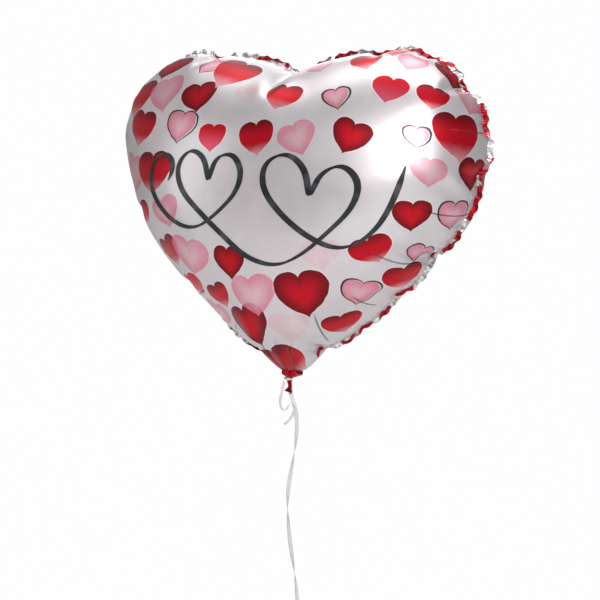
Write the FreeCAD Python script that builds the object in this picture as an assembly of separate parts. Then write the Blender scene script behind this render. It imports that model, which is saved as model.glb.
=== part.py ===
"""Heart-shaped foil balloon with a curling ribbon, in millimetres.

Origin: the middle of the tie at the heart's tip. +Z is up, the front film faces -Y, and X is the width.
"""
import FreeCAD, Part
import math
import os

V = FreeCAD.Vector

# Driving dimensions of the filled heart, measured on its weld line (the films' shared edge).
HALF_WIDTH = 187.0        # weld line, middle to side
SHOULDER_RADIUS = 85.0    # outer bend of each lobe
SHOULDER_Z = 219.0        # height of that bend's centre
TOP_RADIUS = 274.0        # gentler bend from the shoulder down into the notch
TOP_START_DEG = 95.0      # where the shoulder bend hands over to the top bend
SIDE_RADIUS = 535.0       # long bend from the tip up to the shoulder
TIP_Z = 1.0               # where the two weld lines would meet
DOME_DEPTH = 84.0         # seam plane to the flattest point of either film
DOME_CENTRE_Z = 168.0     # height of that point
FILM = 0.5                # modelled film thickness

# Weld flange round the edge.
FLANGE_OUT = 7.0
FLANGE_IN = 1.0
FLANGE_THICK = 0.6

# Neck: the mouth, the gathered throat, the tied waist and the tail below it.
MOUTH_Z = 9.0
MOUTH_HALF_X = 12.4
THROAT_HALF_Y = 10.8
WAIST_RADIUS = 2.4
WAIST_TOP = 2.0
WAIST_BOTTOM = -1.9
TAIL_HINGE_Z = -3.4
TAIL_BARREL_RADIUS = 1.1

# Self-closing valve: two thin films welded into the mouth.
VALVE_WIDTH = 13.0
VALVE_LENGTH = 58.0
VALVE_FILM = 0.25

# Curling ribbon: a flat strip, modelled as a round tube of the strip's width.
RIBBON_WIDTH = 4.0
RIBBON_RADIUS = RIBBON_WIDTH / 2
CURL_RADIUS = 1.25        # the curled end is a split strand, 2.5 mm wide
JOINT_GAP = 0.4

# Tie: turns of ribbon round the waist and the knot that holds them.
WRAP_RADIUS = 3.6
WRAP_TURNS = 3
KNOT_RADIUS = 2.7
KNOT_CENTRE = (-1.2, 5.4, -0.2)
KNOT_BAR_RADIUS = 1.1
KNOT_BAR_LENGTH = 6.4
KNOT_BAR_START = (-4.4, 5.2, 0.6)
KNOT_BAR_DIRECTION = (1.0, 0.0, -0.12)

# The filling neck's end below the tie: half width and half depth at each height.
TAIL_SECTIONS = [
    (1.5, 1.05, TAIL_HINGE_Z),
    (1.3, 1.0, -6.4),
    (2.2, 1.1, -9.0),
    (3.4, 1.0, -12.6),
]
TAIL_NOTCH_RADIUS = 1.8
TAIL_NOTCH_X = 0.6
TAIL_NOTCH_Z = -13.6

# Gathered throat: half width and half depth at each height, from the mouth to the waist.
THROAT_SECTIONS = [
    (MOUTH_HALF_X, THROAT_HALF_Y, MOUTH_Z),
    (8.8, 7.4, 5.6),
    (4.2, 3.8, 3.0),
    (WAIST_RADIUS, WAIST_RADIUS, WAIST_TOP),
]

# Route of the long strand: out of the knot, a slow sway down to the hand knot.
STRAND = [
    (-1.4, 5.4, -5.6),
    (-1.6, 5.4, -14.0),
    (5.4, 5.8, -29.0),
    (7.2, 6.0, -48.0),
    (5.0, 6.0, -74.0),
    (0.0, 5.4, -104.0),
    (0.8, 4.6, -130.0),
    (6.2, 4.6, -163.0),
    (12.6, 5.6, -194.0),
    (15.0, 6.0, -217.0),
    (15.2, 6.0, -232.6),
]
BEND_AFTER = 4            # the second hinge is halfway along the run that follows this point
HAND_KNOT = (15.3, 6.0, -236.0)
HAND_KNOT_RADIUS = 4.4
HAND_LOOP = [
    (13.0, 6.0, -237.6),
    (6.3, 5.6, -249.6),
    (2.3, 5.0, -264.6),
    (4.8, 4.6, -278.6),
    (12.0, 4.6, -287.8),
    (21.6, 5.0, -288.2),
    (28.8, 5.6, -279.1),
    (30.3, 6.2, -264.6),
    (25.3, 6.4, -249.6),
    (17.6, 6.0, -237.6),
]

# Route of the short end, curled on a blade: down, round a small loop, and out again.
CURL = [
    (-2.8, -5.4, -3.6),
    (-4.2, -5.4, -9.4),
    (-5.6, -5.4, -16.0),
    (-6.4, -5.4, -22.8),
    (-4.8, -5.4, -28.6),
    (0.4, -5.4, -30.4),
    (2.4, -5.4, -25.8),
    (4.8, -5.4, -23.0),
    (8.2, -5.5, -23.6),
    (9.4, -5.6, -28.4),
    (7.4, -5.8, -34.0),
    (4.4, -6.0, -39.4),
    (-0.4, -6.2, -43.0),
]


def write(name, shape):
    """One STEP file per node."""
    solids = shape.Solids
    print(f"{name}: {len(solids)} solid(s), volume {shape.Volume:.1f}, valid {shape.isValid()}")
    if len(solids) == 1:
        shape = solids[0]
    shape.exportStep(f"parts/{name}.step")


# ---- heart outline -------------------------------------------------------------------------------

def arc(centre, radius, start, end, y):
    """Arc in the plane y, about (x, z) centre, between two angles in radians."""
    points = []
    for angle in (start, (start + end) / 2, end):
        x = centre[0] + radius * math.cos(angle)
        z = centre[1] + radius * math.sin(angle)
        points.append(V(x, y, z))
    return points


def half_heart(size, tip_z, y, grow):
    """Side, shoulder and top arcs of the right half, as point triples, from the tip up to the notch."""
    shoulder = size * SHOULDER_RADIUS
    top = size * TOP_RADIUS
    side = size * SIDE_RADIUS
    hand_over = math.radians(TOP_START_DEG)
    c1 = (size * (HALF_WIDTH - SHOULDER_RADIUS), DOME_CENTRE_Z + size * (SHOULDER_Z - DOME_CENTRE_Z))
    c2 = (c1[0] - (top - shoulder) * math.cos(hand_over), c1[1] - (top - shoulder) * math.sin(hand_over))
    # The side arc runs through the tip and touches the shoulder arc from outside it.
    dx, dz = c1[0], c1[1] - tip_z
    reach = math.hypot(dx, dz)
    along = (side ** 2 - (side - shoulder) ** 2 + reach ** 2) / (2 * reach)
    across = math.sqrt(side ** 2 - along ** 2)
    c3 = ((dx * along - dz * across) / reach, tip_z + (dz * along + dx * across) / reach)
    meet = math.atan2(c1[1] - c3[1], c1[0] - c3[0])
    at_tip = -math.acos(-c3[0] / (side + grow))
    at_notch = math.acos(-c2[0] / (top + grow))
    return [
        arc(c3, side + grow, at_tip, meet, y),
        arc(c1, shoulder + grow, meet, hand_over, y),
        arc(c2, top + grow, hand_over, at_notch, y),
    ]


def heart_wire(size, tip_z, y, grow=0.0):
    """Closed heart of six arcs: up the right half and down the left."""
    right = half_heart(size, tip_z, y, grow)
    right[0][0].x = 0.0
    right[2][2].x = 0.0
    left = [[V(-p.x, p.y, p.z) for p in reversed(triple)] for triple in reversed(right)]
    return Part.Wire([Part.Arc(*triple).toShape() for triple in right + left])


def flat_ring(outer, inner, y, thick):
    """Solid between two heart wires in the seam plane."""
    ring = Part.Face(outer).cut(Part.Face(inner))
    ring.translate(V(0, y, 0))
    return ring.extrude(V(0, thick, 0))


# ---- films ---------------------------------------------------------------------------------------

def dome(grow, depth, side):
    """Solid dome on the heart: sections shrink as they rise, and the tip climbs faster than the sides."""
    wires = []
    for share in (0.0, 0.2, 0.4, 0.58, 0.73, 0.85, 0.93, 0.98):
        size = (1 - share ** 2) ** 0.6
        climb = 1 - (1 - share ** 1.3) ** 0.7
        tip = TIP_Z + (DOME_CENTRE_Z - TIP_Z) * climb
        y = side * (FLANGE_THICK / 2 + share * depth)
        wires.append(heart_wire(size, tip, y, grow * max(size, 0.4)))
    return Part.makeLoft(wires, True, False)


def film(side):
    """One film as a thin shell, open at the seam and at the mouth."""
    shell = dome(0.0, DOME_DEPTH, side).cut(dome(-FILM, DOME_DEPTH - FILM, side))
    below_mouth = Part.makeBox(200, 400, 100, V(-100, -200, MOUTH_Z - 100))
    return shell.cut(below_mouth)


def edge_seam():
    """Weld flange, broken at the mouth."""
    outer = heart_wire(1.0, TIP_Z, 0.0, FLANGE_OUT)
    inner = heart_wire(1.0, TIP_Z, 0.0, -FLANGE_IN)
    ring = flat_ring(outer, inner, -FLANGE_THICK / 2, FLANGE_THICK)
    mouth = Part.makeBox(2 * MOUTH_HALF_X, 20, 60, V(-MOUTH_HALF_X, -10, MOUTH_Z - 55))
    return ring.cut(mouth)


def valve_film(side):
    """One of the two thin strips that close the mouth from inside, with a rounded inner end."""
    half = VALVE_WIDTH / 2
    straight = VALVE_LENGTH - half
    strip = Part.makeBox(VALVE_WIDTH, VALVE_FILM, straight, V(-half, 0, MOUTH_Z))
    end = Part.makeCylinder(half, VALVE_FILM, V(0, 0, MOUTH_Z + straight), V(0, 1, 0))
    shape = strip.fuse(end).removeSplitter()
    offset = 0.05 if side > 0 else -0.05 - VALVE_FILM
    shape.translate(V(0, offset, 0))
    return shape


# ---- neck ----------------------------------------------------------------------------------------

def ellipse_wire(half_x, half_y, z):
    """Ellipse or circle across the neck. An ellipse needs its major axis first."""
    if half_x == half_y:
        curve = Part.Circle(V(0, 0, z), V(0, 0, 1), half_x)
    elif half_x > half_y:
        curve = Part.Ellipse(V(half_x, 0, z), V(0, half_y, z), V(0, 0, z))
    else:
        curve = Part.Ellipse(V(0, half_y, z), V(-half_x, 0, z), V(0, 0, z))
    return Part.Wire([curve.toShape()])


def throat():
    """Both films gathered from the mouth down to the tied waist."""
    funnel = Part.makeLoft([ellipse_wire(*section) for section in THROAT_SECTIONS], True, False)
    waist = Part.makeCylinder(WAIST_RADIUS, WAIST_TOP - WAIST_BOTTOM, V(0, 0, WAIST_BOTTOM))
    return funnel.fuse(waist)


def waist_bore(radius):
    """Long upright cylinder round the waist, used to cut the tie to it."""
    reach = 10
    return Part.makeCylinder(radius, 2 * reach, V(0, 0, -reach))


def ribbon_wrap():
    """Turns of ribbon round the waist, each pulled into a round cord and touching the next."""
    pitch = (WAIST_TOP - WAIST_BOTTOM) / WRAP_TURNS
    middle = WRAP_RADIUS - pitch / 2
    inset = 0.2
    core_height = WAIST_TOP - WAIST_BOTTOM - 2 * inset
    shape = Part.makeCylinder(middle, core_height, V(0, 0, WAIST_BOTTOM + inset))
    for i in range(WRAP_TURNS):
        z = WAIST_BOTTOM + pitch * (i + 0.5)
        shape = shape.fuse(Part.makeTorus(middle, pitch / 2, V(0, 0, z)))
    return shape.cut(waist_bore(WAIST_RADIUS))


def ribbon_knot(wrap):
    """The knot behind the wrap: a rounded lump and a crossing bar seated on the turns."""
    lump = Part.makeSphere(KNOT_RADIUS, V(*KNOT_CENTRE))
    bar = Part.makeCylinder(KNOT_BAR_RADIUS, KNOT_BAR_LENGTH, V(*KNOT_BAR_START), V(*KNOT_BAR_DIRECTION))
    return lump.fuse(bar).cut(waist_bore(WRAP_RADIUS)).cut(wrap)


def neck_tail():
    """The rest of the filling neck: pinched under the tie, then flared to a cut end."""
    body = Part.makeLoft([ellipse_wire(*section) for section in TAIL_SECTIONS], True, False)
    barrel = Part.makeCylinder(TAIL_BARREL_RADIUS, 2.0, V(0, -1.0, TAIL_HINGE_Z), V(0, 1, 0))
    notch = Part.makeCylinder(TAIL_NOTCH_RADIUS, 10, V(TAIL_NOTCH_X, -5, TAIL_NOTCH_Z), V(0, 1, 0))
    return body.fuse(barrel).cut(notch)


# ---- ribbon --------------------------------------------------------------------------------------

def tube(points, name, radius=RIBBON_RADIUS, ball_start=False):
    """Round tube along straight runs joined by tangent arcs as large as the runs allow."""
    route = [V(*p) for p in points]
    edges = []
    radii = []
    start = route[0]
    for before, corner, after in zip(route, route[1:], route[2:]):
        into = (corner - before).normalize()
        out = (after - corner).normalize()
        half_turn = into.getAngle(out) / 2
        setback = 0.45 * min((corner - before).Length, (after - corner).Length)
        bend = setback / math.tan(half_turn)
        radii.append(bend)
        inward = (out - into).normalize()
        first = corner - into * setback
        middle = corner + inward * (bend / math.cos(half_turn) - bend)
        last = corner + out * setback
        edges.append(Part.LineSegment(start, first).toShape())
        edges.append(Part.Arc(first, middle, last).toShape())
        start = last
    edges.append(Part.LineSegment(start, route[-1]).toShape())
    path = Part.Wire(edges)
    direction = (route[1] - route[0]).normalize()
    section = Part.Wire([Part.Circle(route[0], direction, radius).toShape()])
    swept = path.makePipeShell([section], True, False)
    expected = math.pi * radius ** 2 * path.Length
    print(f"{name}: length {path.Length:.1f}, radii {[round(r, 1) for r in radii]}")
    print(f"{name}: volume {swept.Volume:.1f}, section x length {expected:.1f}")
    if ball_start:
        swept = swept.fuse(Part.makeSphere(radius, route[0]))
    return swept


def between(a, b, share):
    """Point part of the way from a to b."""
    return tuple(a[i] + (b[i] - a[i]) * share for i in range(3))


def strand_halves():
    """The long strand in two tubes, with a ball joint's gap halfway along one run."""
    above, below = STRAND[BEND_AFTER], STRAND[BEND_AFTER + 1]
    middle = between(above, below, 0.5)
    run = math.dist(above, below)
    stop = between(above, below, 0.5 - (RIBBON_RADIUS + JOINT_GAP) / run)
    print("sway joint at", [round(x, 2) for x in middle])
    upper = tube(STRAND[:BEND_AFTER + 1] + [stop], "ribbon_upper", ball_start=True)
    lower = tube([middle] + STRAND[BEND_AFTER + 1:], "ribbon_lower", ball_start=True)
    return upper, lower


def main():
    os.makedirs("parts", exist_ok=True)
    wrap = ribbon_wrap()
    upper, lower = strand_halves()
    loop = tube(HAND_LOOP, "hand_loop")
    hand_knot = Part.makeSphere(HAND_KNOT_RADIUS, V(*HAND_KNOT)).cut(lower).cut(loop)
    nodes = {
        "front_panel": film(-1),
        "back_panel": film(1),
        "edge_seam": edge_seam(),
        "valve_film_front": valve_film(-1),
        "valve_film_back": valve_film(1),
        "throat": throat(),
        "ribbon_wrap": wrap,
        "ribbon_knot": ribbon_knot(wrap),
        "neck_tail": neck_tail(),
        "curl_tail": tube(CURL, "curl_tail", CURL_RADIUS, ball_start=True),
        "ribbon_upper": upper,
        "ribbon_lower": lower,
        "hand_knot": hand_knot,
        "hand_loop": loop,
    }
    for name, shape in nodes.items():
        write(name, shape)


main()
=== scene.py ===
"""Heart-shaped foil balloon on a curling ribbon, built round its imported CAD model.

Metres, in the CAD's frame. Origin: the middle of the tie. +Z is up, the front film faces -Y.
"""
import math

import bpy
import numpy as np
from mathutils import Matrix, Vector
from mathutils.bvhtree import BVHTree
from mathutils.geometry import delaunay_2d_cdt


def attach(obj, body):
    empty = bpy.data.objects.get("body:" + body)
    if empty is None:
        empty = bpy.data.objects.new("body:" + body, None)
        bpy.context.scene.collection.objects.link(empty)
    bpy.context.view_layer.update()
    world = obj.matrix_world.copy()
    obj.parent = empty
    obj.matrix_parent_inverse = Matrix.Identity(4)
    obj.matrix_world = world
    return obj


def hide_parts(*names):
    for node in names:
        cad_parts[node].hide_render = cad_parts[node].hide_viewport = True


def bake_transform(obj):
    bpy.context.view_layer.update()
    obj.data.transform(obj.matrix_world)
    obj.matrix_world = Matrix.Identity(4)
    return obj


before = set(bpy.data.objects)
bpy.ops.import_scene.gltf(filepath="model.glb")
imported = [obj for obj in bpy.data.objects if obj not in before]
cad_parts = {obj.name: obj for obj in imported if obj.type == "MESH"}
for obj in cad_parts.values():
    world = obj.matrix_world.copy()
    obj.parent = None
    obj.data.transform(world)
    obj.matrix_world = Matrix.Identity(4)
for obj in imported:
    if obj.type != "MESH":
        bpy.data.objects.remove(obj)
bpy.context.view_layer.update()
scene = bpy.context.scene

# ---- camera ----

CAMERA_AT = Vector((0.771, -1.513, 0.123))
CAMERA_AZIMUTH = math.radians(26.76)
CAMERA_DOWN = math.radians(1.63)
CAMERA_ROLL = math.radians(2.2)


def make_camera():
    forward = Vector((
        -math.sin(CAMERA_AZIMUTH) * math.cos(CAMERA_DOWN),
        math.cos(CAMERA_AZIMUTH) * math.cos(CAMERA_DOWN),
        -math.sin(CAMERA_DOWN),
    ))
    level = Vector((math.cos(CAMERA_AZIMUTH), math.sin(CAMERA_AZIMUTH), 0))
    upright = level.cross(forward)
    right = level * math.cos(CAMERA_ROLL) + upright * math.sin(CAMERA_ROLL)
    up = right.cross(forward)
    data = bpy.data.cameras.new("camera")
    data.lens = 107.9
    data.sensor_width = 36
    camera = bpy.data.objects.new("camera", data)
    camera.matrix_world = Matrix.Translation(CAMERA_AT) @ Matrix((right, up, -forward)).transposed().to_4x4()
    scene.collection.objects.link(camera)
    scene.camera = camera


make_camera()

# ---- helpers ----


def add_mesh(name, verts, faces, material, uv=None):
    """New mesh object. uv is one pair for each vertex."""
    mesh = bpy.data.meshes.new(name)
    mesh.from_pydata([tuple(map(float, v)) for v in verts], [], [tuple(map(int, f)) for f in faces])
    mesh.validate()
    if uv is not None:
        layer = mesh.uv_layers.new(name="flat")
        corner = np.zeros(len(mesh.loops), np.int32)
        mesh.loops.foreach_get("vertex_index", corner)
        layer.data.foreach_set("uv", np.asarray(uv, np.float32)[corner].ravel())
    mesh.shade_smooth()
    mesh.materials.append(material)
    obj = bpy.data.objects.new(name, mesh)
    scene.collection.objects.link(obj)
    return obj


def add_values(obj, name, values):
    """Float attribute, one value for each vertex."""
    layer = obj.data.attributes.new(name, "FLOAT", "POINT")
    layer.data.foreach_set("value", np.asarray(values, np.float32))


def route_points(name, points):
    """Points along the smooth NURBS line of a cord's route."""
    curve = bpy.data.curves.new(name, "CURVE")
    curve.dimensions = "3D"
    curve.resolution_u = 16
    spline = curve.splines.new("NURBS")
    spline.points.add(len(points) - 1)
    for control, place in zip(spline.points, points):
        control.co = (*place, 1)
    spline.order_u = 3
    spline.use_endpoint_u = True
    line = bpy.data.objects.new(name, curve)
    mesh = bpy.data.meshes.new_from_object(line)
    found = np.array([v.co for v in mesh.vertices])
    bpy.data.objects.remove(line)
    bpy.data.meshes.remove(mesh)
    bpy.data.curves.remove(curve)
    return found


def skin(name, rings, material, closed_ends=False, uv=None):
    """Mesh through closed rings of points, in order."""
    count = len(rings[0])
    faces = []
    for i in range(len(rings) - 1):
        for j in range(count):
            k = (j + 1) % count
            faces.append((i * count + j, i * count + k, (i + 1) * count + k, (i + 1) * count + j))
    if closed_ends:
        last = (len(rings) - 1) * count
        faces += [tuple(range(count))[::-1], tuple(range(last, last + count))]
    return add_mesh(name, [v for ring in rings for v in ring], faces, material, uv)


def run_of(line):
    """Distance along a line to each of its points."""
    return np.concatenate([[0], np.cumsum(np.linalg.norm(np.diff(line, axis=0), axis=1))])


def length_of(line):
    return float(run_of(line)[-1])


def unit(v):
    return v / np.maximum(np.linalg.norm(v, axis=-1, keepdims=True), 1e-12)


def smoothstep(x, low, high):
    t = np.clip((x - low) / (high - low), 0, 1)
    return t * t * (3 - 2 * t)


# ---- node helpers ----


class Nodes:
    """Short forms for building a node tree."""

    def __init__(self, tree):
        self.tree = tree
        tree.nodes.clear()

    def put(self, socket, value):
        """Links another node's output to the socket, or sets its value. None leaves it alone."""
        if isinstance(value, bpy.types.NodeSocket):
            self.tree.links.new(value, socket)
        elif value is not None:
            socket.default_value = value

    def add(self, kind, **settings):
        node = self.tree.nodes.new("ShaderNode" + kind)
        for key, value in settings.items():
            setattr(node, key, value)
        return node

    def fill(self, node, *values):
        """Puts the values into the node's first sockets, and gives its first output."""
        for socket, value in zip(node.inputs, values):
            self.put(socket, value)
        return node.outputs[0]

    def math(self, operation, a, b=None, c=None):
        return self.fill(self.add("Math", operation=operation), a, b, c)

    def vector(self, operation, a, b, c=None):
        return self.fill(self.add("VectorMath", operation=operation), a, b, c)

    def apart(self, place):
        """The x, y and z outputs of a place."""
        node = self.add("SeparateXYZ")
        self.put(node.inputs[0], place)
        return node.outputs

    def blend(self, share, a, b):
        node = self.add("Mix", data_type="RGBA")
        self.put(node.inputs["Factor"], share)
        self.put(node.inputs[6], a)
        self.put(node.inputs[7], b)
        return node.outputs[2]

    def fade(self, x, low, high, out_low=0.0, out_high=1.0):
        """x from low to high becomes out_low to out_high, smoothly."""
        node = self.add("MapRange", interpolation_type="SMOOTHSTEP")
        return self.fill(node, x, low, high, out_low, out_high)

    def noise(self, place, scale, detail=2.0, rough=0.5, warp=0.0, output=0):
        node = self.add("TexNoise")
        self.put(node.inputs["Vector"], place)
        self.put(node.inputs["Scale"], scale)
        self.put(node.inputs["Detail"], detail)
        self.put(node.inputs["Roughness"], rough)
        self.put(node.inputs["Distortion"], warp)
        return node.outputs[output]

    def bump(self, height, distance, strength=1.0, under=None):
        node = self.add("Bump")
        self.put(node.inputs["Height"], height)
        node.inputs["Distance"].default_value = distance
        node.inputs["Strength"].default_value = strength
        self.put(node.inputs["Normal"], under)
        return node.outputs[0]

    def value_of(self, attribute):
        return self.add("Attribute", attribute_name=attribute).outputs["Fac"]

    def flat_place(self):
        return self.add("UVMap", uv_map="flat").outputs[0]

    def surface(self, colour, metallic, roughness, normal):
        shader = self.add("BsdfPrincipled")
        self.put(shader.inputs["Base Color"], colour)
        shader.inputs["Metallic"].default_value = metallic
        self.put(shader.inputs["Roughness"], roughness)
        self.put(shader.inputs["Normal"], normal)
        self.put(self.add("OutputMaterial").inputs["Surface"], shader.outputs[0])

    def by_ray(self, lit, seen):
        """One shader for what lights the balloon, another for what the camera sees."""
        is_seen = self.add("LightPath").outputs["Is Camera Ray"]
        return self.fill(self.add("MixShader"), is_seen, lit, seen)


def new_material(name):
    material = bpy.data.materials.new(name)
    material.use_nodes = True
    return material, Nodes(material.node_tree)


# ---- print on the films, and painted light and shade on the foils ----

PEARL = (0.52, 0.495, 0.505, 1)
RED = (0.42, 0.0, 0.009, 1)
MAROON = (0.14, 0.0, 0.004, 1)
ROSE = (0.55, 0.07, 0.12, 1)
PINK = (0.56, 0.17, 0.24, 1)
PALE = (0.60, 0.35, 0.39, 1)
WHITE = (0.80, 0.78, 0.79, 1)
BLACK = (0.012, 0.012, 0.014, 1)
BLUSH = (0.58, 0.49, 0.51, 1)
WELD_RIB_PITCH = 0.0045

# The print, in millimetres on the flat film: staggered rows of loose hearts, left out behind the brush line.
FIELD_HALF_WIDTH = 222
FIELD_HALF_HEIGHT = 196
FIELD_MIDDLE = 190
ROW_PITCH = 38
COLUMN_PITCH = 46
FIRST_ROW = 30
QUIET_MIDDLE = (8, 194)
QUIET_HALF = (108, 54)
PEN_WEIGHT = 0.85
# The kinds come round in this order, each with its usual width.
KINDS = ("red", "pink", "dark", "pale", "red", "lined", "rose", "red", "pink", "dark", "lined", "red", "pink")
KIND_WIDTH = {"pale": 42, "red": 42, "dark": 44, "rose": 28, "pink": 40, "lined": 30}


def share_out(x, z):
    """How far out a place is on the film: 0 in the middle, about 1 on its heart-shaped edge."""
    across = abs(x) / FIELD_HALF_WIDTH
    height = (z - FIELD_MIDDLE) / FIELD_HALF_HEIGHT
    return math.hypot(across, 1.18 * height + 0.22 - 0.62 * math.sqrt(across))


def scattered_hearts():
    """Kind, middle (x, z), width, height and lean in degrees of each printed heart."""
    rng = np.random.default_rng(5)
    found = []
    for row in range(10):
        for column in range(-5, 6):
            shift_x, shift_z, size, tall, lean = rng.uniform(-1, 1, 5)
            x = (column + 0.5 * (row % 2)) * COLUMN_PITCH + 7 * shift_x
            z = FIRST_ROW + row * ROW_PITCH + 7 * shift_z
            off_x = (x - QUIET_MIDDLE[0]) / QUIET_HALF[0]
            off_z = (z - QUIET_MIDDLE[1]) / QUIET_HALF[1]
            if share_out(x, z) > 1.0 or math.hypot(off_x, off_z) < 1.0:
                continue
            kind = KINDS[len(found) % len(KINDS)]
            width = KIND_WIDTH[kind] * (1 + 0.3 * size)
            found.append((kind, x, z, width, width * (0.92 + 0.1 * tall), 24 * lean))
    # The pale washes lie under the rest.
    return sorted(found, key=lambda heart: heart[0] != "pale")


def sharp_folds():
    """Sharp creases that run in from the weld: inner end x, z; weld end x, z; width."""
    rng = np.random.default_rng(3)
    folds = []
    for angle in np.radians(np.arange(-68, 21, 22)):
        for side in (-1, 1):
            ux, uz = side * math.cos(angle), math.sin(angle)
            edge = next(r for r in range(60, 400) if share_out(r * ux, FIELD_MIDDLE + r * uz) > 1)
            length, lean, wide = rng.uniform((28, -0.3, 0.9), (60, 0.3, 1.3))
            end_x, end_z = edge * ux, FIELD_MIDDLE + edge * uz
            in_x = ux * math.cos(lean) - uz * math.sin(lean)
            in_z = ux * math.sin(lean) + uz * math.cos(lean)
            folds.append((end_x - length * in_x, end_z - length * in_z, end_x, end_z, wide))
    # The film gathers in a fan at the tip.
    for lean in (-0.45, -0.15, 0.15, 0.45):
        folds.append((12 * lean + 52 * math.sin(lean), 12 + 52 * math.cos(lean), 12 * lean, 12, 2.4))
    return folds


HEARTS = scattered_hearts()
CREASES = sharp_folds()


def heart_group():
    """Node group: a field that is 1 on a heart's edge and less inside.

    Across and Height are the heart's own axes: each adds up a factor times X, a factor times Z and a start.
    """
    group = bpy.data.node_groups.new("heart field", "ShaderNodeTree")
    for name in ("X", "Z", "Across X", "Across Z", "Across", "Height X", "Height Z", "Height"):
        group.interface.new_socket(name, in_out="INPUT", socket_type="NodeSocketFloat")
    for name in ("Field", "Height"):
        group.interface.new_socket(name, in_out="OUTPUT", socket_type="NodeSocketFloat")
    n = Nodes(group)
    given = group.nodes.new("NodeGroupInput").outputs
    out = group.nodes.new("NodeGroupOutput").inputs

    def axis(name):
        part = n.math("MULTIPLY_ADD", given["Z"], given[name + " Z"], given[name])
        return n.math("MULTIPLY_ADD", given["X"], given[name + " X"], part)

    across = n.math("ABSOLUTE", axis("Across"))
    height = axis("Height")
    stretched = n.math("MULTIPLY_ADD", height, 1.18, 0.22)
    rise = n.math("MULTIPLY_ADD", n.math("SQRT", across), -0.62, stretched)
    squares = n.math("MULTIPLY_ADD", across, across, n.math("MULTIPLY", rise, rise))
    n.put(out["Field"], n.math("SQRT", squares))
    n.put(out["Height"], height)
    return group


def printed_film(name, group, mirror):
    """Pearl film with the printed hearts, and painted shade along its sharp creases."""
    material, n = new_material(name)
    flat = n.flat_place()
    if mirror:
        flat = n.vector("MULTIPLY", flat, (-1, 1, 1))
    # Hand-painted edges: each place is read up to about 2 mm away.
    wobble = n.vector("SUBTRACT", n.noise(flat, 55.0, output="Color"), (0.5, 0.5, 0.5))
    x_place, z_place, _ = n.apart(n.vector("MULTIPLY_ADD", wobble, (0.0035, 0.0035, 0.0035), flat))
    wash = n.noise(flat, 42.0, 3.0, 0.6, 0.6)
    grain = n.noise(flat, 330.0, 2.0)

    def field_of(x, z, width, height, lean):
        node = n.add("Group", node_tree=group)
        n.put(node.inputs["X"], x_place)
        n.put(node.inputs["Z"], z_place)
        turn = math.radians(lean)
        for name, size, fx, fz in (
            ("Across", width, math.cos(turn), -math.sin(turn)),
            ("Height", height, math.sin(turn), math.cos(turn)),
        ):
            fx, fz = 2000 * fx / size, 2000 * fz / size
            node.inputs[name + " X"].default_value = fx
            node.inputs[name + " Z"].default_value = fz
            node.inputs[name].default_value = -(fx * x + fz * z) / 1000
        return node.outputs["Field"], node.outputs["Height"]

    pinkish = n.blend(n.fade(n.noise(flat, 9.0, 2.0), 0.40, 0.70, 0.0, 0.6), PEARL, BLUSH)
    colour = n.blend(n.fade(wash, 0.40, 0.80, 0.0, 0.14), pinkish, WHITE)
    for kind, x, z, width, height, lean in HEARTS:
        field, level = field_of(x, z, width, height, lean)
        soft = 0.7 / width
        inside = n.fade(field, 1 - soft, 1 + soft, 1.0, 0.0)
        if kind in ("red", "dark", "rose"):
            halo = n.fade(field, 1 + 1.0 / width, 1 + 3.0 / width, 0.30, 0.0)
            colour = n.blend(halo, colour, WHITE)
            if kind == "red":
                shade = n.blend(n.fade(level, 0.1, 0.9), RED, MAROON)
            elif kind == "dark":
                shade = n.blend(n.fade(field, 0.2, 1.0), RED, MAROON)
            else:
                shade = n.blend(n.fade(level, -0.9, 0.7), ROSE, RED)
            if kind == "red" and width > 20:
                pale_tip = n.fade(n.math("MULTIPLY_ADD", wash, 0.5, level), -0.80, 0.05, 0.85, 0.0)
                shade = n.blend(pale_tip, shade, PALE)
            colour = n.blend(inside, colour, shade)
            continue
        strength = {"pale": (0.65, 0.25), "pink": (0.95, 0.70)}.get(kind, (1.0, 0.9))
        light = PALE if kind == "pale" else n.blend(n.fade(field, 0.1, 1.0), PALE, PINK)
        share = n.math("MULTIPLY", inside, n.fade(wash, 0.25, 0.75, *strength))
        colour = n.blend(share, colour, light)
        if kind == "lined":
            # A black pen line, set a little off the wash.
            wider = 2.2 * PEN_WEIGHT
            pen, _ = field_of(x + 0.03 * width, z - 0.01 * height, width + wider, height + wider, lean + 2)
            off = n.math("ABSOLUTE", n.math("SUBTRACT", pen, 1.0))
            line = n.fade(off, 1.6 * PEN_WEIGHT / width, (1.6 * PEN_WEIGHT + 0.9) / width, 0.95, 0.0)
            colour = n.blend(line, colour, BLACK)
    sharp = sharp_creases(n, flat)
    # Painted shade: the film is darkened up to 45% towards black along each sharp crease.
    colour = n.blend(n.math("MULTIPLY", sharp, 0.45), colour, BLACK)
    n.surface(colour, 0.70, n.fade(wash, 0.2, 0.8, 0.35, 0.39), film_creases(n, flat, grain, sharp))
    return material


def sharp_creases(n, flat):
    """1 along each sharp crease, fading to 0 beside it and towards its inner end."""
    flat_x, flat_z, _ = n.apart(flat)
    total = None
    for x, z, end_x, end_z, wide in CREASES:
        length = math.hypot(end_x - x, end_z - z)
        dx, dz = (end_x - x) / length, (end_z - z) / length

        def line(fx, fz, scale):
            part = n.math("MULTIPLY_ADD", flat_z, 1000 * fz * scale, -(fx * x + fz * z) * scale)
            return n.math("MULTIPLY_ADD", flat_x, 1000 * fx * scale, part)

        share = line(dx, dz, 1 / length)
        bow = n.math("MULTIPLY", n.math("MULTIPLY", share, n.math("SUBTRACT", 1.0, share)), 0.16 * length)
        off = n.math("ABSOLUTE", n.math("ADD", line(-dz, dx, 1.0), bow))
        mark = n.math("MULTIPLY", n.fade(off, 0.0, wide, 1.0, 0.0), n.fade(share, 0.0, 0.35))
        mark = n.math("MULTIPLY", mark, n.fade(share, 1.0, 1.15, 1.0, 0.0))
        total = mark if total is None else n.math("MAXIMUM", total, mark)
    return total


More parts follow.
